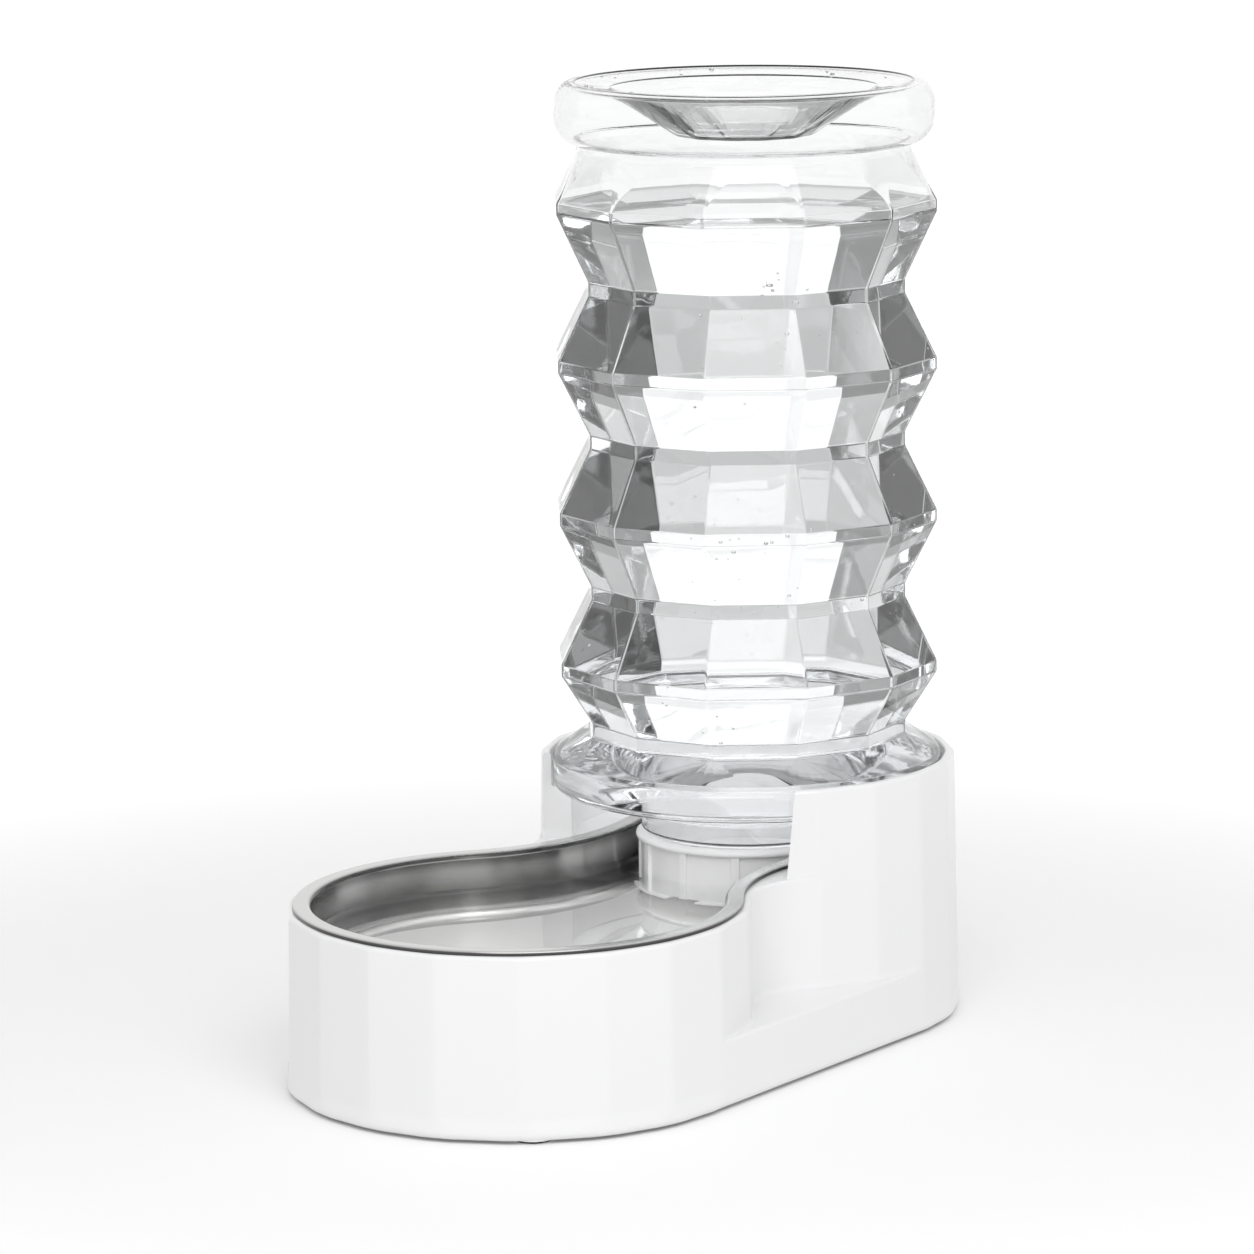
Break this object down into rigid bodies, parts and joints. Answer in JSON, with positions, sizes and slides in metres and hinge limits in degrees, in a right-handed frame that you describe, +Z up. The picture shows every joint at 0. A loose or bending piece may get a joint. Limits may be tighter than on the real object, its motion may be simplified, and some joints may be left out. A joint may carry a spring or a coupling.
{
  "type": "gravity pet water dispenser",
  "caption": "Gravity pet water dispenser: white base with a keyhole-shaped steel bowl and an inverted clear zigzag bottle that feeds it through a valved screw cap",
  "frame": {"origin": "middle of the footprint at the level of the floor that the rubber feet stand on", "axes": "+Z up along the bottle, -Y toward the bowl end, +Y toward the tower end, +X to the right seen from the bowl end"},
  "size_m": [0.1784, 0.3178, 0.369],
  "materials": {
    "shell_white": "glossy white moulded plastic",
    "steel": "satin stainless steel",
    "clear_bottle": "clear blown plastic with a faint blue tint",
    "cap_white": "white moulded plastic",
    "silicone": "pale grey silicone",
    "valve_plastic": "white moulded plastic",
    "black_rubber": "black rubber",
    "spring_steel": "bright stainless spring wire"
  },
  "bodies": {
    "dispenser": {"base_housing": "shell_white", "steel_bowl": "steel", "water_bottle": "clear_bottle", "valve_cap": "cap_white", "cap_gasket": "silicone", "valve_spring": "spring_steel", "foot_front_left": "black_rubber", "foot_front_right": "black_rubber", "foot_rear_left": "black_rubber", "foot_rear_right": "black_rubber"},
    "valve_plunger": {"valve_stem": "valve_plastic", "valve_washer": "black_rubber", "valve_foot": "valve_plastic"}
  },
  "joints": [
    {"name": "valve_slide", "type": "slide", "parent": "dispenser", "child": "valve_plunger", "axis": [0, 0, 1], "range_m": [0, 0.0025], "stiffness_N_per_m": 120, "springref_m": -0.012, "deforming": ["valve_spring"]}
  ]
}
